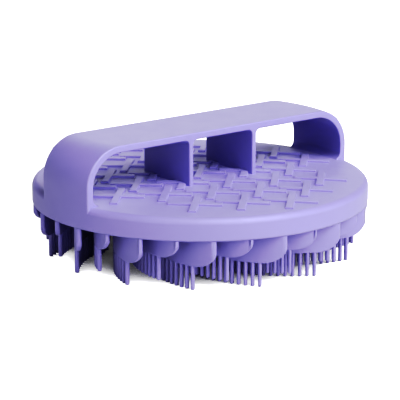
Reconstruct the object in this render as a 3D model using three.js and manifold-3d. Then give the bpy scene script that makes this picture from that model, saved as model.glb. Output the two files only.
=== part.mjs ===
// Round curry comb with a bridge handle, in millimetres, +Z up.
// The disc's axis is Z, the handle runs along X, and the long pins' tips stand on z = 0.
import * as THREE from 'three';
import { mergeVertices } from 'three/addons/utils/BufferGeometryUtils.js';
import Module from 'manifold-3d';

const wasm = await Module();
wasm.setup();

// ---- Disc ----
const discDiameter = 140;
const discHeight = 9.3;
const topEdgeFillet = 2.8;
const bottomEdgeFillet = 0.8;
const topWall = 3;
const skirtWall = 3;
const discCrown = 1.1;
const crownRings = 6;
const rimFacets = 72;

// ---- Raised crosses on the disc ----
const crossPitch = 19.1;
const crossReach = 10.8;
const crossArmWidth = 3.2;
const crossHeight = 0.9;
const crossTurn = 45;
const crossEdgeMargin = 1.1;
const crossLegMargin = 6;

// ---- Bridge handle ----
const handleWidth = 30.7;
const handleRise = 22.8;
const strapThickness = 2.9;
const legThickness = 2.9;
const handleCornerRadius = 16;
const dividerSpacing = 33.2;
const dividerThickness = 2.2;
const dividerFillet = 2.2;
const legFillet = 3.5;
const handleSteps = 6;

// ---- Comb blades ----
const bladePairs = 15;
const bladeThickness = 2;
const bladeArcRadius = 46.5;
const bladeStartHeading = -60;
const firstBladeAngle = -33.6;
const tallBladeDepth = 11.3;
const pinLength = 9.7;
const shortBladeLift = 3.5;
const tallInnerRadius = 37;
const shortInnerRadius = 44;
const bladeEndClearance = 0.1;
const endTaperLength = 0.8;
const endTaperWidth = 0.4;
const endCornerLength = 10;
const endCornerHeight = 7;
const pinPitch = 2.9;
const pinWidth = 1.5;
const firstPinOffset = 10.6;
const lastPinMargin = 1.4;
const rootHeight = 3;
const rootEdgeMargin = 3;

// ---- Fits ----
const fitClearance = 0.3;
const slotClearance = 0.15;

// ---- Levels and radii that follow ----
const discRadius = discDiameter / 2;
const discBottomZ = pinLength + tallBladeDepth;
const discTopZ = discBottomZ + discHeight;
const crownEdgeRadius = discRadius - topEdgeFillet;
const ceilingZ = discTopZ - topWall;
const strapTopZ = discTopZ + handleRise;
const strapUndersideZ = strapTopZ - strapThickness;
const skirtInnerRadius = discRadius - skirtWall;
const plateRadius = skirtInnerRadius - fitClearance;

const radians = THREE.MathUtils.degToRad;

const shellPlastic = new THREE.MeshStandardMaterial({ color: '#a99fd9', roughness: 0.45, metalness: 0 });
const handlePlastic = new THREE.MeshStandardMaterial({ color: '#b3aadf', roughness: 0.42, metalness: 0 });
const platePlastic = new THREE.MeshStandardMaterial({ color: '#8f83c9', roughness: 0.5, metalness: 0 });
const combRubber = new THREE.MeshStandardMaterial({ color: '#9c90d0', roughness: 0.55, metalness: 0 });

// ---- Solids from three.js geometry ----

function solidOf(geometry) {
  const bare = new THREE.BufferGeometry();
  bare.setAttribute('position', geometry.getAttribute('position'));
  if (geometry.index) bare.setIndex(geometry.index);
  const merged = mergeVertices(bare, 1e-4);
  const index = merged.index.array;
  const corners = [];
  for (let i = 0; i < index.length; i += 3) {
    const [a, b, c] = [index[i], index[i + 1], index[i + 2]];
    if (a !== b && b !== c && c !== a) corners.push(a, b, c);
  }
  return new wasm.Manifold(new wasm.Mesh({
    numProp: 3,
    vertProperties: Float32Array.from(merged.getAttribute('position').array),
    triVerts: Uint32Array.from(corners),
  }));
}

function geometryOf(solid) {
  const mesh = solid.getMesh();
  const indexed = new THREE.BufferGeometry();
  indexed.setAttribute('position', new THREE.BufferAttribute(mesh.vertProperties, 3));
  indexed.setIndex(new THREE.BufferAttribute(mesh.triVerts, 1));
  const geometry = indexed.toNonIndexed();
  geometry.computeVertexNormals();
  return geometry;
}

function revolved(profile, facets) {
  const points = profile.map(([radius, z]) => new THREE.Vector2(radius, z));
  return new THREE.LatheGeometry(points, facets).rotateX(Math.PI / 2);
}

function roundBar(radius, lowZ, highZ) {
  return solidOf(revolved([[0, lowZ], [radius, lowZ], [radius, highZ], [0, highZ]], rimFacets));
}

function boxBetween(low, high) {
  const box = new THREE.BoxGeometry(high[0] - low[0], high[1] - low[1], high[2] - low[2]);
  return solidOf(box.translate((low[0] + high[0]) / 2, (low[1] + high[1]) / 2, (low[2] + high[2]) / 2));
}

// Points of an arc in the order it is walked, angles in degrees.
function arcPoints(x, y, radius, fromAngle, toAngle, steps) {
  const points = [];
  for (let i = 0; i <= steps; i += 1) {
    const angle = radians(fromAngle + ((toAngle - fromAngle) * i) / steps);
    points.push([x + radius * Math.cos(angle), y + radius * Math.sin(angle)]);
  }
  return points;
}

// ---- Handle ----

const dividerCentres = [-dividerSpacing / 2, dividerSpacing / 2];

// One window of the handle, open at the disc. The corners at the strap have their own radii.
function handleWindow(leftX, rightX, leftTop, rightTop, leftFoot, rightFoot) {
  const points = [];
  const top = strapUndersideZ;
  const foot = discTopZ;
  if (leftFoot > 0) points.push(...arcPoints(leftX + leftFoot, foot + leftFoot, leftFoot, 270, 180, 3));
  else points.push([leftX, foot]);
  points.push(...arcPoints(leftX + leftTop, top - leftTop, leftTop, 180, 90, leftTop > 5 ? 6 : 3));
  points.push(...arcPoints(rightX - rightTop, top - rightTop, rightTop, 90, 0, rightTop > 5 ? 6 : 3));
  if (rightFoot > 0) points.push(...arcPoints(rightX - rightFoot, foot + rightFoot, rightFoot, 0, -90, 3));
  else points.push([rightX, foot]);
  return points;
}

function handleOutline() {
  const innerCorner = Math.max(handleCornerRadius - strapThickness, dividerFillet);
  const legInnerX = discRadius - legThickness;
  const footInnerX = discRadius - skirtWall;
  const cornerX = discRadius - handleCornerRadius;
  const cornerZ = strapTopZ - handleCornerRadius;
  const half = dividerThickness / 2;
  const [leftDivider, rightDivider] = dividerCentres;
  return [
    [-footInnerX, discBottomZ],
    [-footInnerX, discTopZ],
    ...handleWindow(-legInnerX, leftDivider - half, innerCorner, dividerFillet, legFillet, 0),
    [leftDivider - half, ceilingZ],
    [leftDivider + half, ceilingZ],
    ...handleWindow(leftDivider + half, rightDivider - half, dividerFillet, dividerFillet, 0, 0),
    [rightDivider - half, ceilingZ],
    [rightDivider + half, ceilingZ],
    ...handleWindow(rightDivider + half, legInnerX, dividerFillet, innerCorner, 0, legFillet),
    [footInnerX, discTopZ],
    [footInnerX, discBottomZ],
    [discRadius, discBottomZ],
    ...arcPoints(cornerX, cornerZ, handleCornerRadius, 0, 90, 6),
    ...arcPoints(-cornerX, cornerZ, handleCornerRadius, 90, 180, 6),
    [-discRadius, discBottomZ],
  ];
}

// How far the round rim falls back from its widest point, at y across the handle.
function bowDepth(y) {
  return discRadius - Math.sqrt(discRadius ** 2 - y ** 2);
}

// The legs follow the round rim, so everything outside the strap's straight stretch bows with it.
function bowToRim(geometry) {
  const position = geometry.getAttribute('position');
  const bowStart = discRadius - handleCornerRadius - 0.01;
  for (let i = 0; i < position.count; i += 1) {
    const x = position.getX(i);
    const y = position.getY(i);
    if (Math.abs(x) < bowStart) continue;
    position.setX(i, x - Math.sign(x) * bowDepth(y));
  }
  return geometry;
}

function makeHandle() {
  const outline = new THREE.Shape(handleOutline().map(([x, z]) => new THREE.Vector2(x, z)));
  const options = { depth: handleWidth, steps: handleSteps, bevelEnabled: false };
  const bar = new THREE.ExtrudeGeometry(outline, options);
  bar.rotateX(Math.PI / 2).translate(0, handleWidth / 2, 0);
  return solidOf(bowToRim(bar));
}

// The room that the cap leaves for the handle's feet, dividers and fillets.
function handleRoom() {
  const halfWidth = handleWidth / 2 + fitClearance;
  const above = strapTopZ + 1;
  const footSpace = boxBetween(
    [-discRadius - 1, -halfWidth, discBottomZ - 1],
    [discRadius + 1, halfWidth, above],
  );
  const core = roundBar(skirtInnerRadius - fitClearance, discBottomZ - 2, above + 1);
  let room = footSpace.subtract(core);
  for (const centre of dividerCentres) {
    const halfSlot = dividerThickness / 2 + fitClearance;
    room = room.add(boxBetween(
      [centre - halfSlot, -halfWidth, ceilingZ - 1],
      [centre + halfSlot, halfWidth, above],
    ));
  }
  const filletReach = discRadius - legThickness - legFillet - fitClearance - bowDepth(handleWidth / 2);
  for (const side of [-1, 1]) {
    const ends = [side * filletReach, side * (discRadius + 1)].sort((a, b) => a - b);
    room = room.add(boxBetween([ends[0], -halfWidth, discTopZ], [ends[1], halfWidth, above]));
  }
  return room;
}

// ---- Cap ----

// The top swells gently from the rounded rim to the middle. Points run inwards, lifted as asked.
function crownPoints(lift) {
  const points = [];
  for (let ring = 0; ring <= crownRings; ring += 1) {
    const share = 1 - ring / crownRings;
    points.push([crownEdgeRadius * share, discTopZ + discCrown * (1 - share ** 2) + lift]);
  }
  return points;
}

function capProfile() {
  const top = topEdgeFillet;
  const low = bottomEdgeFillet;
  return [
    [0, ceilingZ],
    [skirtInnerRadius, ceilingZ],
    [skirtInnerRadius, discBottomZ],
    ...arcPoints(discRadius - low, discBottomZ + low, low, -90, 0, 2),
    ...arcPoints(discRadius - top, discTopZ - top, top, 0, 90, 4),
    ...crownPoints(0).slice(1),
  ];
}

function crossGeometry() {
  const reach = crossReach;
  const half = crossArmWidth / 2;
  const quarter = [[reach, -half], [reach, half], [half, half]];
  const corners = [];
  for (let turn = 0; turn < 4; turn += 1) {
    for (const [x, y] of quarter) {
      const corner = new THREE.Vector2(x, y);
      corners.push(corner.rotateAround(new THREE.Vector2(), (turn * Math.PI) / 2));
    }
  }
  const options = { depth: topWall / 2 + discCrown + crossHeight + 1, bevelEnabled: false };
  const cross = new THREE.ExtrudeGeometry(new THREE.Shape(corners), options);
  return cross.rotateZ(radians(crossTurn)).translate(0, 0, discTopZ - topWall / 2);
}

// Crosses sit on a triangular grid with one of its directions across the handle, and they fill an
// oval that stays further from the legs than from the rim.
function crossCentres() {
  const centres = [];
  const rowStep = crossPitch * Math.cos(Math.PI / 6);
  const halfAcross = crownEdgeRadius - crossEdgeMargin - crossReach * Math.SQRT1_2;
  const halfAlong = halfAcross - crossLegMargin;
  const rows = Math.floor(halfAlong / rowStep);
  for (let row = -rows; row <= rows; row += 1) {
    const shift = Math.abs(row % 2) * (crossPitch / 2);
    const columns = Math.ceil(halfAcross / crossPitch) + 1;
    for (let column = -columns; column <= columns; column += 1) {
      const x = row * rowStep;
      const y = column * crossPitch + shift;
      if (Math.hypot(x / halfAlong, y / halfAcross) <= 1) centres.push([x, y]);
    }
  }
  return centres;
}

// The crosses' tops follow the crowned top, one cross height above it.
function makeCap() {
  const body = solidOf(revolved(capProfile(), rimFacets));
  const raisedProfile = [[0, ceilingZ], [crownEdgeRadius, ceilingZ], ...crownPoints(crossHeight)];
  const raisedTop = solidOf(revolved(raisedProfile, rimFacets));
  const prisms = crossCentres().map(([x, y]) => solidOf(crossGeometry().translate(x, y, 0)));
  const crosses = wasm.Manifold.union(prisms).intersect(raisedTop);
  return body.add(crosses).subtract(handleRoom());
}

// ---- Comb blades ----

const startHeading = radians(bladeStartHeading);
const halfBlade = bladeThickness / 2;

// The blade's end stands back from the rim just enough for its outer corner to stay inside the rim.
const cornerOverhang = halfBlade * Math.sin(Math.abs(startHeading)) - endTaperLength * Math.cos(startHeading);
const bladeStartRadius = discRadius - Math.max(cornerOverhang, 0) - bladeEndClearance;
const arcCentre = new THREE.Vector2(
  bladeArcRadius * Math.cos(startHeading),
  -bladeStartRadius - bladeArcRadius * Math.sin(startHeading),
);

// A blade starts at (0, -bladeStartRadius) and curves in. Its side offset is to the right.
function onBlade(along, side) {
  const heading = startHeading + along / bladeArcRadius;
  const reach = bladeArcRadius - side;
  return [arcCentre.x - reach * Math.cos(heading), arcCentre.y + reach * Math.sin(heading)];
}

// How far along the blade's centre line it crosses a circle round the disc's axis.
function alongAtRadius(radius) {
  const distance = arcCentre.length();
  const cosine = (distance ** 2 + bladeArcRadius ** 2 - radius ** 2) / (2 * distance * bladeArcRadius);
  const heading = -Math.acos(THREE.MathUtils.clamp(cosine, -1, 1)) - arcCentre.angle();
  const turn = THREE.MathUtils.euclideanModulo(heading - startHeading + Math.PI, 2 * Math.PI) - Math.PI;
  return turn * bladeArcRadius;
}

const rootStart = alongAtRadius(plateRadius - rootEdgeMargin);

function pinPositions(length) {
  const positions = [];
  for (let at = firstPinOffset; at <= length - lastPinMargin; at += pinPitch) positions.push(at);
  return positions;
}

// Where the blade is cut into flat panels: a few before the first pin, then one for each two pins.
function panelBounds(length) {
  const pins = pinPositions(length);
  const plain = firstPinOffset - pinPitch / 2;
  const bounds = [0, endTaperLength, plain * 0.3, plain * 0.6, plain];
  for (let i = 1; i < pins.length - 1; i += 2) bounds.push(pins[i] + pinPitch / 2);
  return [...bounds, length];
}

// The blade's lower edge, with the quarter ellipse at its outer end.
function lowerEdge(along, edgeZ) {
  const fromCorner = Math.max(0, 1 - along / endCornerLength);
  return edgeZ + endCornerHeight * (1 - Math.sqrt(1 - fromCorner ** 2));
}

// Panels of the blade's side view, each a closed outline of [along, z], walked anticlockwise.
function bladePanels(length, edgeZ, tipZ) {
  const bounds = panelBounds(length);
  const pins = pinPositions(length);
  const rootTop = discBottomZ + rootHeight;
  return bounds.slice(1).map((high, i) => {
    const low = bounds[i];
    const outline = [[low, lowerEdge(low, edgeZ)]];
    for (const pin of pins.filter((at) => at > low && at < high)) {
      const half = pinWidth / 2;
      outline.push([pin - half, edgeZ], [pin - half, tipZ], [pin + half, tipZ], [pin + half, edgeZ]);
    }
    outline.push([high, lowerEdge(high, edgeZ)]);
    outline.push([high, high > rootStart ? rootTop : discBottomZ]);
    if (low < rootStart && high > rootStart) outline.push([rootStart, rootTop], [rootStart, discBottomZ]);
    outline.push([low, low > rootStart ? rootTop : discBottomZ]);
    return { outline, low, high };
  });
}

// Closed mesh of flat panels wrapped round the blade's arc, with a wall along every outer edge.
function wrapPanels(panels, sideAt) {
  const positions = [];
  const triangle = (a, b, c) => positions.push(...a, ...b, ...c);
  const place = ([along, z], turn) => [...onBlade(along, turn * sideAt(along)), z];
  const start = panels[0].low;
  const end = panels[panels.length - 1].high;
  for (const { outline, low, high } of panels) {
    const right = outline.map((point) => place(point, 1));
    const left = outline.map((point) => place(point, -1));
    const flat = outline.map(([along, z]) => new THREE.Vector2(along, z));
    for (const [a, b, c] of THREE.ShapeUtils.triangulateShape(flat, [])) {
      triangle(right[a], right[b], right[c]);
      triangle(left[a], left[c], left[b]);
    }
    for (let i = 0; i < outline.length; i += 1) {
      const next = (i + 1) % outline.length;
      const isAt = (along) => outline[i][0] === along && outline[next][0] === along;
      const shared = (isAt(low) && low !== start) || (isAt(high) && high !== end);
      if (shared) continue;
      triangle(right[i], left[i], left[next]);
      triangle(right[i], left[next], right[next]);
    }
  }
  const geometry = new THREE.BufferGeometry();
  geometry.setAttribute('position', new THREE.Float32BufferAttribute(positions, 3));
  return geometry;
}

// Half the blade's thickness, less where its outer end is tapered.
function bladeSide(along) {
  return along < endTaperLength / 2 ? endTaperWidth : halfBlade;
}

function makeBlade(innerRadius, lift) {
  return solidOf(wrapPanels(bladePanels(alongAtRadius(innerRadius), pinLength + lift, lift), bladeSide));
}

// The slot in the carrier plate for a blade's root has the same flat panels, and clearance all round.
function makeSlot(innerRadius) {
  const length = alongAtRadius(innerRadius);
  const low = discBottomZ - 1;
  const high = discBottomZ + rootHeight + slotClearance;
  const cuts = panelBounds(length).filter((along) => along > rootStart && along < length);
  const bounds = [rootStart - slotClearance, ...cuts, length + slotClearance];
  const panels = bounds.slice(1).map((to, i) => {
    const from = bounds[i];
    return { outline: [[from, low], [to, low], [to, high], [from, high]], low: from, high: to };
  });
  return solidOf(wrapPanels(panels, () => halfBlade + slotClearance));
}

const bladeKinds = [
  { name: 'tall_blade', turn: 0, innerRadius: tallInnerRadius, lift: 0 },
  { name: 'short_blade', turn: 180 / bladePairs, innerRadius: shortInnerRadius, lift: shortBladeLift },
];

function bladeAngles(kind) {
  return Array.from({ length: bladePairs }, (_, i) => firstBladeAngle + kind.turn + (360 * i) / bladePairs);
}

// ---- Carrier plate ----

function makePlate() {
  let plate = roundBar(plateRadius, discBottomZ, ceilingZ);
  for (const kind of bladeKinds) {
    const slot = makeSlot(kind.innerRadius);
    for (const angle of bladeAngles(kind)) plate = plate.subtract(slot.rotate([0, 0, angle]));
  }
  return plate;
}

// ---- Assembly ----

const curryComb = new THREE.Group();

function addPiece(name, solid, material) {
  const piece = new THREE.Mesh(geometryOf(solid), material);
  piece.name = name;
  curryComb.add(piece);
  return piece;
}

addPiece('cap', makeCap(), shellPlastic);
addPiece('handle', makeHandle(), handlePlastic);
addPiece('comb_plate', makePlate(), platePlastic);
for (const kind of bladeKinds) {
  const blade = makeBlade(kind.innerRadius, kind.lift);
  bladeAngles(kind).forEach((angle, i) => {
    const name = `${kind.name}_${String(i + 1).padStart(2, '0')}`;
    addPiece(name, blade, combRubber).rotation.z = radians(angle);
  });
}

export default curryComb;
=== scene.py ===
import math

import bmesh
import bpy
from mathutils import Matrix, Vector


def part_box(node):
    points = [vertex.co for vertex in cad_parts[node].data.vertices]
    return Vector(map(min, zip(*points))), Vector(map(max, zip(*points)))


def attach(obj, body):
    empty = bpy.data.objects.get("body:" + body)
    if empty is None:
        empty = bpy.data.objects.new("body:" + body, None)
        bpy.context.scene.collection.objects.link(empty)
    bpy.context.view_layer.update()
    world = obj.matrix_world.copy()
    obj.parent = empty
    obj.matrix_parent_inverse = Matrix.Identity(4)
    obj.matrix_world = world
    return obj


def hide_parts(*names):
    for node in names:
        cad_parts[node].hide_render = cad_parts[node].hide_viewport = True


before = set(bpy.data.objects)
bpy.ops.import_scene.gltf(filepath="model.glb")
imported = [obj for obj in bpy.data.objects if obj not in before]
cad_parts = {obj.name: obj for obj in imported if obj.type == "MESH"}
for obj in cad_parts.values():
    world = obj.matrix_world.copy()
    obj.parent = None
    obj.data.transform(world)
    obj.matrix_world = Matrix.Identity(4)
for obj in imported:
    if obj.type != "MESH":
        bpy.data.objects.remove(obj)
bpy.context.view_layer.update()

# A round curry comb: disc with raised crosses, bridge handle, carrier plate and thirty comb blades.
# Everything is in metres, in the frame's own axes: +X along the handle, +Z up, pin tips on z = 0.

MM = 0.001

# ---- Sizes read from the frame ----
cap_low, cap_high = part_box("cap")
_, grip_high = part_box("handle")
_, plate_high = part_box("comb_plate")
short_low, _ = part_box("short_blade_01")
CROSS_HEIGHT = 0.9 * MM
CROWN = 1.1 * MM
RIM_RADIUS = cap_high.y
RIM_BOTTOM = cap_low.z
DISC_TOP = cap_high.z - CROSS_HEIGHT - CROWN
CEILING = plate_high.z
PLATE_RADIUS = plate_high.y
STRAP_TOP = grip_high.z
HALF_GRIP = grip_high.y
SHORT_LIFT = short_low.z

# ---- Sizes of the moulding ----
RIM_SIDES = 240
TOUCH = 1e-6
RIM_TOP_ROUND = 2.8 * MM
RIM_LOW_ROUND = 0.8 * MM
SKIRT_WALL = 3.0 * MM
CROWN_EDGE = RIM_RADIUS - RIM_TOP_ROUND
CROWN_RINGS = 12

STRAP_THICKNESS = 2.9 * MM
GRIP_CORNER = 16 * MM
LEG_FOOT_ROUND = 3.5 * MM
DIVIDER_CENTRE = 16.6 * MM
DIVIDER_THICKNESS = 2.2 * MM
DIVIDER_TOP_ROUND = 2.2 * MM
GRIP_EDGE_ROUND = 0.6 * MM
LEG_FOOT_LIFT = 0.1 * MM
WINDOW_OVERRUN = 4 * MM
CORE_OVERRUN = 1 * MM
CORE_ROOF = 1.5 * MM
PLATE_EDGE_ROUND = 0.5 * MM
SEAM_TUCK = 0.05 * MM
SEAM_PROUD = 0.02 * MM
DISC_RADIUS = RIM_RADIUS - SEAM_PROUD

CROSS_PITCH = 19.1 * MM
CROSS_REACH = 10.8 * MM
CROSS_ARM = 3.2 * MM
CROSS_SINK = 0.4 * MM
CROSS_EDGE_ROUND = 0.4 * MM
CROSS_EDGE_MARGIN = 1.1 * MM
CROSS_LEG_MARGIN = 6 * MM
CROSS_FIELD_ACROSS = CROWN_EDGE - CROSS_EDGE_MARGIN - CROSS_REACH * math.sqrt(0.5)
CROSS_FIELD_ALONG = CROSS_FIELD_ACROSS - CROSS_LEG_MARGIN

BLADES_OF_A_KIND = 15
BLADE_THICKNESS = 2 * MM
BLADE_ARC = 46.5 * MM
BLADE_HEADING = math.radians(-60)
BLADE_START_RADIUS = RIM_RADIUS - 0.57 * MM
BLADE_STEP = 0.9 * MM
BLADE_END_ROUND = 0.95 * MM
BLADE_EDGE_ROUND = 0.45 * MM
FIRST_BLADE_ANGLE = math.radians(-33.6)
TALL_INNER_RADIUS = 37 * MM
SHORT_INNER_RADIUS = 44 * MM
PIN_LENGTH = 9.7 * MM
PIN_RADIUS = 0.75 * MM
PIN_HALF_DEPTH = 0.95 * MM
PIN_SIDES = 12
PIN_PITCH = 2.9 * MM
FIRST_PIN = 10.6 * MM
LAST_PIN_MARGIN = 1.4 * MM
PIN_ROOT = 2 * MM
PIN_TIP_ROUND = 0.55 * MM
END_CORNER_LENGTH = 10 * MM
END_CORNER_HEIGHT = 7 * MM


# ---- Working by hand in edit mode ----

def clear_selection():
    bpy.ops.object.select_all(action="DESELECT")


def pick(piece):
    clear_selection()
    bpy.context.view_layer.objects.active = piece
    piece.select_set(True)


def start_edit(piece):
    pick(piece)
    bpy.ops.object.mode_set(mode="EDIT")
    bpy.ops.mesh.select_all(action="DESELECT")


def end_edit():
    bpy.ops.object.mode_set(mode="OBJECT")


def pick_faces(piece, wanted):
    mesh = bmesh.from_edit_mesh(piece.data)
    bpy.ops.mesh.select_mode(type="FACE")
    for face in mesh.faces:
        face.select_set(wanted(face))
    bmesh.update_edit_mesh(piece.data)


def pick_edges(piece, wanted):
    bpy.ops.mesh.select_mode(type="EDGE")
    mesh = bmesh.from_edit_mesh(piece.data)
    for edge in mesh.edges:
        edge.select_set(wanted(edge))
    bmesh.update_edit_mesh(piece.data)


def at_height(edge, height):
    return all(abs(vert.co.z - height) < TOUCH for vert in edge.verts)


def at_radius(edge, radius):
    return all(abs(vert.co.xy.length - radius) < 2 * TOUCH for vert in edge.verts)


def at_x(edge, x):
    return all(abs(vert.co.x - x) < TOUCH for vert in edge.verts)


def settle(piece):
    """Place and turn go into the mesh, so that the object itself sits at the origin."""
    pick(piece)
    bpy.ops.object.transform_apply(location=True, rotation=True, scale=True)


def apply_modifiers(piece):
    pick(piece)
    for modifier in list(piece.modifiers):
        bpy.ops.object.modifier_apply(modifier=modifier.name)


def smooth(piece, degrees):
    pick(piece)
    bpy.ops.object.shade_smooth_by_angle(angle=math.radians(degrees))


def even_normals(piece):
    """Large flat faces keep flat shading right up to their rounded edges."""
    weighted = piece.modifiers.new("flat faces first", "WEIGHTED_NORMAL")
    weighted.mode = "FACE_AREA"
    weighted.weight = 80
    weighted.keep_sharp = True
    apply_modifiers(piece)


def round_bar(name, radius, low, high, sides=RIM_SIDES):
    clear_selection()
    bpy.ops.mesh.primitive_cylinder_add(
        vertices=sides, radius=radius, depth=high - low, location=(0, 0, (low + high) / 2)
    )
    bar = bpy.context.object
    bar.name = name
    settle(bar)
    return bar


def bevel_picked(width, segments):
    bpy.ops.mesh.bevel(
        offset=width, offset_type="OFFSET", segments=segments, affect="EDGES", clamp_overlap=False
    )


def cut_along(piece, axis, place, away):
    """Takes off everything beyond a plane square to an axis, and closes the cut."""
    normal = Vector((away, 0, 0)) if axis == "x" else Vector((0, away, 0))
    bpy.ops.mesh.select_mode(type="VERT")
    bpy.ops.mesh.select_all(action="SELECT")
    bpy.ops.mesh.bisect(
        plane_co=normal * place * away, plane_no=normal, clear_outer=True, use_fill=True
    )


def cut_away(piece, cutter):
    cut = piece.modifiers.new("cut", "BOOLEAN")
    cut.operation = "DIFFERENCE"
    cut.solver = "EXACT"
    cut.object = cutter
    apply_modifiers(piece)
    bpy.data.objects.remove(cutter, do_unlink=True)


def join_pieces(pieces, name):
    clear_selection()
    for piece in pieces:
        piece.select_set(True)
    bpy.context.view_layer.objects.active = pieces[0]
    bpy.ops.object.join()
    joined = bpy.context.object
    joined.name = name
    return joined


def copy_of(piece, placing, name):
    twin = piece.copy()
    twin.data = piece.data.copy()
    twin.data.transform(placing)
    twin.name = name
    bpy.context.scene.collection.objects.link(twin)
    return twin


# ---- Disc with raised crosses ----

def crown_height(radius):
    return CROWN * (1 - (radius / CROWN_EDGE) ** 2)


def swell_top(disc):
    """The flat top is inset ring by ring, and each ring is lifted to the crown."""
    pick_faces(disc, lambda face: face.normal.z > 0.9 and face.calc_area() > 0.01)
    step = CROWN_EDGE / (CROWN_RINGS + 1)
    for ring in range(CROWN_RINGS):
        outer = CROWN_EDGE - ring * step
        lift = crown_height(outer - step) - crown_height(outer)
        bpy.ops.mesh.inset(thickness=step, depth=lift)


def drape(cross):
    """A cross laid on the crowned top follows it."""
    for vert in cross.data.vertices:
        vert.co.z += crown_height(vert.co.xy.length)
    return cross


def model_cross():
    clear_selection()
    height = CROSS_HEIGHT + CROSS_SINK
    bpy.ops.mesh.primitive_cube_add(size=1, location=(0, 0, DISC_TOP + CROSS_HEIGHT - height / 2))
    cross = bpy.context.object
    cross.scale = (CROSS_ARM, CROSS_ARM, height)
    settle(cross)
    start_edit(cross)
    arm = CROSS_REACH - CROSS_ARM / 2
    for side in (Vector((1, 0, 0)), Vector((0, 1, 0)), Vector((-1, 0, 0)), Vector((0, -1, 0))):
        pick_faces(cross, lambda face: face.normal.dot(side) > 0.9 and
                   (face.calc_center_median().xy - side.xy * CROSS_ARM / 2).length < TOUCH)
        bpy.ops.mesh.extrude_region_move(TRANSFORM_OT_translate={"value": side * arm})
    top = DISC_TOP + CROSS_HEIGHT
    pick_edges(cross, lambda edge: at_height(edge, top) and edge.calc_face_angle() > 1)
    bevel_picked(CROSS_EDGE_ROUND, 3)
    end_edit()
    cross.data.transform(Matrix.Rotation(math.radians(45), 4, "Z"))
    return cross


def cross_places():
    """A triangular grid with one of its directions across the handle, kept to an oval."""
    row_step = CROSS_PITCH * math.cos(math.pi / 6)
    rows = math.floor(CROSS_FIELD_ALONG / row_step)
    columns = math.ceil(CROSS_FIELD_ACROSS / CROSS_PITCH) + 1
    for row in range(-rows, rows + 1):
        for column in range(-columns, columns + 1):
            place = Vector((row * row_step, column * CROSS_PITCH + (row % 2) * CROSS_PITCH / 2, 0))
            if math.hypot(place.x / CROSS_FIELD_ALONG, place.y / CROSS_FIELD_ACROSS) <= 1:
                yield place


def model_disc():
    disc = round_bar("disc", DISC_RADIUS, RIM_BOTTOM, DISC_TOP)
    start_edit(disc)
    pick_faces(disc, lambda face: face.normal.z < -0.9)
    bpy.ops.mesh.inset(thickness=SKIRT_WALL, depth=0)
    bpy.ops.mesh.extrude_region_move(TRANSFORM_OT_translate={"value": (0, 0, CEILING - RIM_BOTTOM)})
    pick_edges(disc, lambda edge: at_height(edge, DISC_TOP) and at_radius(edge, DISC_RADIUS))
    bevel_picked(RIM_TOP_ROUND, 10)
    pick_edges(disc, lambda edge: at_height(edge, RIM_BOTTOM) and at_radius(edge, DISC_RADIUS))
    bevel_picked(RIM_LOW_ROUND, 4)
    swell_top(disc)
    end_edit()
    cross = model_cross()
    crosses = [
        drape(copy_of(cross, Matrix.Translation(place), "cross")) for place in cross_places()
    ]
    bpy.data.objects.remove(cross, do_unlink=True)
    disc = join_pieces([disc, *crosses], "disc_shell")
    smooth(disc, 40)
    even_normals(disc)
    return disc


# ---- Bridge handle ----

def model_window(from_x, to_x):
    """The room inside a round puck between two upright planes, with its corners rounded."""
    low, high = DISC_TOP - SEAM_TUCK, STRAP_TOP - STRAP_THICKNESS
    inner = RIM_RADIUS - STRAP_THICKNESS
    room = round_bar("window", inner, low, high)
    start_edit(room)
    pick_edges(room, lambda edge: at_height(edge, high) and at_radius(edge, inner))
    bevel_picked(GRIP_CORNER - STRAP_THICKNESS, 14)
    pick_edges(room, lambda edge: at_height(edge, low) and at_radius(edge, inner))
    bevel_picked(LEG_FOOT_ROUND, 6)
    cut_along(room, "y", HALF_GRIP + WINDOW_OVERRUN, 1)
    cut_along(room, "y", -HALF_GRIP - WINDOW_OVERRUN, -1)
    for x, away in ((from_x, -1), (to_x, 1)):
        if x is None:
            continue
        cut_along(room, "x", x, away)
        pick_edges(room, lambda edge: at_x(edge, x) and at_height(edge, high))
        bevel_picked(DIVIDER_TOP_ROUND, 6)
    end_edit()
    return room


def model_handle():
    """A round puck cut down to one broad band, so that its legs lie flush in the rim."""
    foot = RIM_BOTTOM + RIM_LOW_ROUND + LEG_FOOT_LIFT
    handle = round_bar("bridge_handle", RIM_RADIUS, foot, STRAP_TOP)
    start_edit(handle)
    pick_edges(handle, lambda edge: at_height(edge, STRAP_TOP) and at_radius(edge, RIM_RADIUS))
    bevel_picked(GRIP_CORNER, 16)
    cut_along(handle, "y", HALF_GRIP, 1)
    cut_along(handle, "y", -HALF_GRIP, -1)
    end_edit()
    core = round_bar("core", PLATE_RADIUS, RIM_BOTTOM - CORE_OVERRUN, DISC_TOP - CORE_ROOF)
    cut_away(handle, core)
    half = DIVIDER_THICKNESS / 2
    cut_away(handle, model_window(None, -DIVIDER_CENTRE - half))
    cut_away(handle, model_window(-DIVIDER_CENTRE + half, DIVIDER_CENTRE - half))
    cut_away(handle, model_window(DIVIDER_CENTRE + half, None))
    edges = handle.modifiers.new("rounded edges", "BEVEL")
    edges.width = GRIP_EDGE_ROUND
    edges.segments = 4
    edges.limit_method = "ANGLE"
    edges.angle_limit = math.radians(50)
    edges.use_clamp_overlap = False
    edges.loop_slide = False
    apply_modifiers(handle)
    smooth(handle, 40)
    even_normals(handle)
    return handle


# ---- Carrier plate ----

def model_plate():
    low = RIM_BOTTOM + SEAM_TUCK
    plate = round_bar("carrier_plate", PLATE_RADIUS, low, CEILING)
    start_edit(plate)
    pick_edges(plate, lambda edge: at_height(edge, low) and at_radius(edge, PLATE_RADIUS))
    bevel_picked(PLATE_EDGE_ROUND, 3)
    end_edit()
    smooth(plate, 40)
    even_normals(plate)
    return plate


# ---- Comb blades ----

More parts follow.
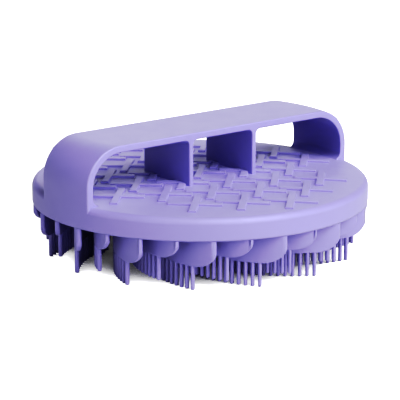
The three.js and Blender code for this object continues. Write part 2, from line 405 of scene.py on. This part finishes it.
ARC_CENTRE = Vector((
    BLADE_ARC * math.cos(BLADE_HEADING),
    -BLADE_START_RADIUS - BLADE_ARC * math.sin(BLADE_HEADING),
    0,
))


def blade_heading(along):
    return BLADE_HEADING + along / BLADE_ARC


def on_blade(along):
    heading = blade_heading(along)
    return ARC_CENTRE + BLADE_ARC * Vector((-math.cos(heading), math.sin(heading), 0))


def along_at_radius(radius):
    distance = ARC_CENTRE.length
    cosine = (distance ** 2 + BLADE_ARC ** 2 - radius ** 2) / (2 * distance * BLADE_ARC)
    heading = -math.acos(cosine) - math.atan2(ARC_CENTRE.y, ARC_CENTRE.x)
    return (heading - BLADE_HEADING) * BLADE_ARC


def along_of(point):
    heading = math.atan2(point.y - ARC_CENTRE.y, ARC_CENTRE.x - point.x)
    return (heading - BLADE_HEADING) * BLADE_ARC


def model_web(length, edge_height):
    """The blade's curved plate: an upright section spun about the arc's centre."""
    clear_selection()
    height = RIM_BOTTOM + SEAM_TUCK - edge_height
    middle = on_blade(0) + Vector((0, 0, edge_height + height / 2))
    bpy.ops.mesh.primitive_plane_add(
        size=1, location=middle, rotation=(math.pi / 2, 0, -BLADE_HEADING)
    )
    web = bpy.context.object
    web.scale = (BLADE_THICKNESS, height, 1)
    settle(web)
    start_edit(web)
    bpy.ops.mesh.select_all(action="SELECT")
    bpy.ops.mesh.spin(
        steps=round(length / BLADE_STEP), angle=length / BLADE_ARC,
        center=ARC_CENTRE, axis=(0, 0, 1), use_auto_merge=False
    )
    bpy.ops.mesh.select_all(action="SELECT")
    bpy.ops.mesh.remove_doubles(threshold=1e-7)
    bpy.ops.mesh.normals_make_consistent(inside=False)
    pick_edges(web, lambda edge: abs(edge.verts[0].co.z - edge.verts[1].co.z) > height / 2
               and along_of(edge.verts[0].co) < 0.1 * MM)
    bevel_picked(BLADE_END_ROUND, 4)
    pick_edges(web, lambda edge: at_height(edge, edge_height) and edge.calc_face_angle() > 0.5)
    bevel_picked(BLADE_EDGE_ROUND, 3)
    end_edit()
    for vert in web.data.vertices:
        fall = max(0, 1 - along_of(vert.co) / END_CORNER_LENGTH)
        lift = END_CORNER_HEIGHT * (1 - math.sqrt(max(0, 1 - fall ** 2)))
        share = (RIM_BOTTOM - vert.co.z) / height
        if share > 0:
            vert.co.z += lift * share
    return web


def model_pin(tip, top):
    """An oval pin, narrow along the blade and nearly as deep as the blade is thick."""
    pin = round_bar("pin", PIN_RADIUS, tip, top, sides=PIN_SIDES)
    pin.data.transform(Matrix.Diagonal((PIN_HALF_DEPTH / PIN_RADIUS, 1, 1, 1)))
    start_edit(pin)
    pick_edges(pin, lambda edge: at_height(edge, tip))
    bevel_picked(PIN_TIP_ROUND, 2)
    end_edit()
    return pin


def model_blade(name, inner_radius, lift):
    length = along_at_radius(inner_radius)
    edge_height = PIN_LENGTH + lift
    parts = [model_web(length, edge_height)]
    pin = model_pin(lift, edge_height + PIN_ROOT)
    along = FIRST_PIN
    while along <= length - LAST_PIN_MARGIN:
        facing = Matrix.Rotation(-blade_heading(along), 4, "Z")
        parts.append(copy_of(pin, Matrix.Translation(on_blade(along)) @ facing, "pin"))
        along += PIN_PITCH
    bpy.data.objects.remove(pin, do_unlink=True)
    blade = join_pieces(parts, name)
    smooth(blade, 45)
    return blade


def model_blade_ring(kind, inner_radius, lift, turn):
    first = model_blade(kind, inner_radius, lift)
    blades = []
    for number in range(BLADES_OF_A_KIND):
        angle = FIRST_BLADE_ANGLE + turn + number * 2 * math.pi / BLADES_OF_A_KIND
        placing = Matrix.Rotation(angle, 4, "Z")
        blades.append(copy_of(first, placing, f"{kind}_comb_{number + 1:02d}"))
    bpy.data.objects.remove(first, do_unlink=True)
    return blades


# ---- Materials ----

FLOOR_GLOW = 1.2
# Reach, depth and gain of the painted contact shadow that ambient occlusion cuts into the floor's
# glow.
PAINTED_SHADOW_REACH = 60 * MM
PAINTED_SHADOW_DEPTH = 3
PAINTED_SHADOW_GAIN = 200
GRAIN_HEIGHT = 0.06 * MM


def socket(group, name, kind, way):
    return group.interface.new_socket(name=name, in_out=way, socket_type=kind)


def make_moulding_group():
    """Moulded plastic's slight unevenness: cloudy colour, fine grain and a few rubbed patches."""
    group = bpy.data.node_groups.new("moulded surface", "ShaderNodeTree")
    socket(group, "Colour", "NodeSocketColor", "INPUT")
    socket(group, "Cloud colour", "NodeSocketColor", "INPUT")
    socket(group, "Roughness", "NodeSocketFloat", "INPUT")
    socket(group, "Grain depth", "NodeSocketFloat", "INPUT")
    socket(group, "Colour", "NodeSocketColor", "OUTPUT")
    socket(group, "Roughness", "NodeSocketFloat", "OUTPUT")
    socket(group, "Normal", "NodeSocketVector", "OUTPUT")
    nodes, links = group.nodes, group.links
    given = nodes.new("NodeGroupInput")
    result = nodes.new("NodeGroupOutput")
    place = nodes.new("ShaderNodeTexCoord")

    clouds = nodes.new("ShaderNodeTexNoise")
    clouds.inputs["Scale"].default_value = 45
    clouds.inputs["Detail"].default_value = 4
    links.new(place.outputs["Object"], clouds.inputs["Vector"])
    cloud_mix = nodes.new("ShaderNodeMix")
    cloud_mix.data_type = "RGBA"
    links.new(clouds.outputs["Fac"], cloud_mix.inputs["Factor"])
    links.new(given.outputs["Colour"], cloud_mix.inputs["A"])
    links.new(given.outputs["Cloud colour"], cloud_mix.inputs["B"])
    links.new(cloud_mix.outputs["Result"], result.inputs["Colour"])

    grain = nodes.new("ShaderNodeTexNoise")
    grain.inputs["Scale"].default_value = 2600
    grain.inputs["Detail"].default_value = 3
    links.new(place.outputs["Object"], grain.inputs["Vector"])
    bump = nodes.new("ShaderNodeBump")
    bump.inputs["Distance"].default_value = GRAIN_HEIGHT
    links.new(given.outputs["Grain depth"], bump.inputs["Strength"])
    links.new(grain.outputs["Fac"], bump.inputs["Height"])
    links.new(bump.outputs["Normal"], result.inputs["Normal"])

    rubbed = nodes.new("ShaderNodeTexNoise")
    rubbed.inputs["Scale"].default_value = 160
    rubbed.inputs["Detail"].default_value = 5
    links.new(place.outputs["Object"], rubbed.inputs["Vector"])
    spread = nodes.new("ShaderNodeMapRange")
    spread.inputs["From Min"].default_value = 0.3
    spread.inputs["From Max"].default_value = 0.7
    spread.inputs["To Min"].default_value = -0.04
    spread.inputs["To Max"].default_value = 0.05
    links.new(rubbed.outputs["Fac"], spread.inputs["Value"])
    total = nodes.new("ShaderNodeMath")
    total.operation = "ADD"
    links.new(given.outputs["Roughness"], total.inputs[0])
    links.new(spread.outputs["Result"], total.inputs[1])
    links.new(total.outputs["Value"], result.inputs["Roughness"])
    return group


MOULDING = make_moulding_group()


def make_plastic(name, colour, cloud_colour, roughness, grain):
    material = bpy.data.materials.new(name)
    material.use_nodes = True
    nodes, links = material.node_tree.nodes, material.node_tree.links
    shader = nodes["Principled BSDF"]
    surface = nodes.new("ShaderNodeGroup")
    surface.node_tree = MOULDING
    surface.inputs["Colour"].default_value = (*colour, 1)
    surface.inputs["Cloud colour"].default_value = (*cloud_colour, 1)
    surface.inputs["Roughness"].default_value = roughness
    surface.inputs["Grain depth"].default_value = grain
    links.new(surface.outputs["Colour"], shader.inputs["Base Color"])
    links.new(surface.outputs["Roughness"], shader.inputs["Roughness"])
    links.new(surface.outputs["Normal"], shader.inputs["Normal"])
    shader.inputs["IOR"].default_value = 1.5
    shader.inputs["Specular IOR Level"].default_value = 0.8
    shader.inputs["Sheen Weight"].default_value = 0.2
    shader.inputs["Sheen Roughness"].default_value = 0.5
    return material


def add_math(nodes, operation, second=None):
    node = nodes.new("ShaderNodeMath")
    node.operation = operation
    if second is not None:
        node.inputs[1].default_value = second
    return node


def make_floor_material():
    """White paper that glows to the camera alone, so it looks white and throws up little light.

    The glow dies away deep under the comb, cut by ambient occlusion: a painted contact shadow.
    """
    material = bpy.data.materials.new("white sweep")
    material.use_nodes = True
    nodes, links = material.node_tree.nodes, material.node_tree.links
    shader = nodes["Principled BSDF"]
    place = nodes.new("ShaderNodeTexCoord")
    paper = nodes.new("ShaderNodeTexNoise")
    paper.inputs["Scale"].default_value = 30
    links.new(place.outputs["Object"], paper.inputs["Vector"])
    tone = nodes.new("ShaderNodeMix")
    tone.data_type = "RGBA"
    tone.inputs["A"].default_value = (0.64, 0.64, 0.64, 1)
    tone.inputs["B"].default_value = (0.66, 0.66, 0.66, 1)
    links.new(paper.outputs["Fac"], tone.inputs["Factor"])
    links.new(tone.outputs["Result"], shader.inputs["Base Color"])
    shader.inputs["Roughness"].default_value = 0.9

    # Painted contact shadow: ambient occlusion dims the floor's camera-only glow under and near the
    # comb.
    cover = nodes.new("ShaderNodeAmbientOcclusion")
    cover.samples = 24
    cover.inputs["Distance"].default_value = PAINTED_SHADOW_REACH
    contact = add_math(nodes, "POWER", PAINTED_SHADOW_DEPTH)
    links.new(cover.outputs["AO"], contact.inputs[0])
    openness = add_math(nodes, "MULTIPLY", PAINTED_SHADOW_GAIN)
    openness.use_clamp = True
    links.new(contact.outputs["Value"], openness.inputs[0])
    rays = nodes.new("ShaderNodeLightPath")
    strength = add_math(nodes, "MULTIPLY", FLOOR_GLOW)
    links.new(rays.outputs["Is Camera Ray"], strength.inputs[0])
    glow = add_math(nodes, "MULTIPLY")
    links.new(strength.outputs["Value"], glow.inputs[0])
    links.new(openness.outputs["Value"], glow.inputs[1])
    links.new(glow.outputs["Value"], shader.inputs["Emission Strength"])
    shader.inputs["Emission Color"].default_value = (1, 1, 1, 1)
    return material


LAVENDER = (0.258, 0.226, 0.560)
CLOUDED_LAVENDER = (0.279, 0.244, 0.577)
shell_plastic = make_plastic("lavender shell plastic", LAVENDER, CLOUDED_LAVENDER, 0.5, 0.25)
grip_plastic = make_plastic("lavender grip plastic", LAVENDER, CLOUDED_LAVENDER, 0.5, 0.25)
comb_plastic = make_plastic("lavender comb plastic", LAVENDER, CLOUDED_LAVENDER, 0.5, 0.2)


def finish_piece(piece, material, slot, *nodes):
    piece.data.materials.clear()
    piece.data.materials.append(material)
    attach(piece, "root")
    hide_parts(*nodes)


# ---- The comb ----
finish_piece(model_disc(), shell_plastic, "shell", "cap")
finish_piece(model_handle(), grip_plastic, "grip", "handle")
finish_piece(model_plate(), comb_plastic, "comb", "comb_plate")
tall_blades = model_blade_ring("tall_blade", TALL_INNER_RADIUS, 0, 0)
half_step = math.pi / BLADES_OF_A_KIND
short_blades = model_blade_ring("short_blade", SHORT_INNER_RADIUS, SHORT_LIFT, half_step)
for kind, blades in (("tall_blade", tall_blades), ("short_blade", short_blades)):
    for number, blade in enumerate(blades, 1):
        finish_piece(blade, comb_plastic, "comb", f"{kind}_{number:02d}")


# ---- Floor, light and camera ----

FLOOR_SIZE = 24
LIGHT_SIZE = 4
LIGHT_DISTANCE = 6
LIGHT_AIM_HEIGHT = 30 * MM
# Each light's name, bearing from the camera's side and height in degrees, and power in watts.
SOFT_LIGHTS = (
    ("front", 10, 25, 25),
    ("front right", 45, 45, 225),
    ("high front right", 45, 65, 165),
    ("right", 90, 12, 85),
    ("front left", -45, 45, 25),
    ("low front left", -50, 12, 45),
    ("low front right", 42, 15, 125),
    ("low behind", 180, 12, 42),
    ("behind", 180, 40, 24),
)
VIEW_TURN = math.radians(-38.74)
VIEW_DROP = math.radians(14.546)
VIEW_DISTANCE = 10.705 * RIM_RADIUS
VIEW_HEIGHT = 3.058 * RIM_RADIUS
VIEW_LENS = 166.3
SENSOR_WIDTH = 36
PRINT_TONES = ((0.06, 0.02), (0.17, 0.125), (0.32, 0.375), (0.55, 0.61), (0.8, 0.8))


def make_floor():
    clear_selection()
    bpy.ops.mesh.primitive_plane_add(size=FLOOR_SIZE, location=(0, 0, 0))
    floor = bpy.context.object
    floor.name = "floor"
    floor.data.materials.append(make_floor_material())


def make_soft_light(name, turn, rise, power):
    """A round soft light, placed by its bearing from the camera's side and by its height."""
    bearing = VIEW_TURN + math.radians(turn)
    height = math.radians(rise)
    away = Vector((
        math.sin(bearing) * math.cos(height),
        -math.cos(bearing) * math.cos(height),
        math.sin(height),
    ))
    lamp = bpy.data.lights.new(name, "AREA")
    lamp.shape = "DISK"
    lamp.size = LIGHT_SIZE
    lamp.energy = power
    light = bpy.data.objects.new(name, lamp)
    bpy.context.scene.collection.objects.link(light)
    light.location = away * LIGHT_DISTANCE + Vector((0, 0, LIGHT_AIM_HEIGHT))
    light.rotation_euler = (-away).to_track_quat("-Z", "Y").to_euler()
    light.visible_camera = False


def make_surround():
    """A dark studio: the soft lights alone light the comb."""
    world = bpy.data.worlds.new("dark studio")
    world.use_nodes = True
    world.node_tree.nodes["Background"].inputs["Strength"].default_value = 0
    bpy.context.scene.world = world


def set_print_tones():
    """A tone curve for print: deep shadows, bright middle tones and soft highlights."""
    view = bpy.context.scene.view_settings
    view.view_transform = "Standard"
    view.use_curve_mapping = True
    curve = view.curve_mapping.curves[3]
    for light, shown in PRINT_TONES:
        curve.points.new(light, shown)
    view.curve_mapping.update()


def make_camera():
    lens = bpy.data.cameras.new("camera")
    lens.lens = VIEW_LENS
    lens.sensor_width = SENSOR_WIDTH
    camera = bpy.data.objects.new("camera", lens)
    bpy.context.scene.collection.objects.link(camera)
    camera.location = (
        VIEW_DISTANCE * math.sin(VIEW_TURN), -VIEW_DISTANCE * math.cos(VIEW_TURN), VIEW_HEIGHT
    )
    camera.rotation_euler = (math.pi / 2 - VIEW_DROP, 0, VIEW_TURN)
    bpy.context.scene.camera = camera


make_floor()
set_print_tones()
make_surround()
for light in SOFT_LIGHTS:
    make_soft_light(*light)
make_camera()
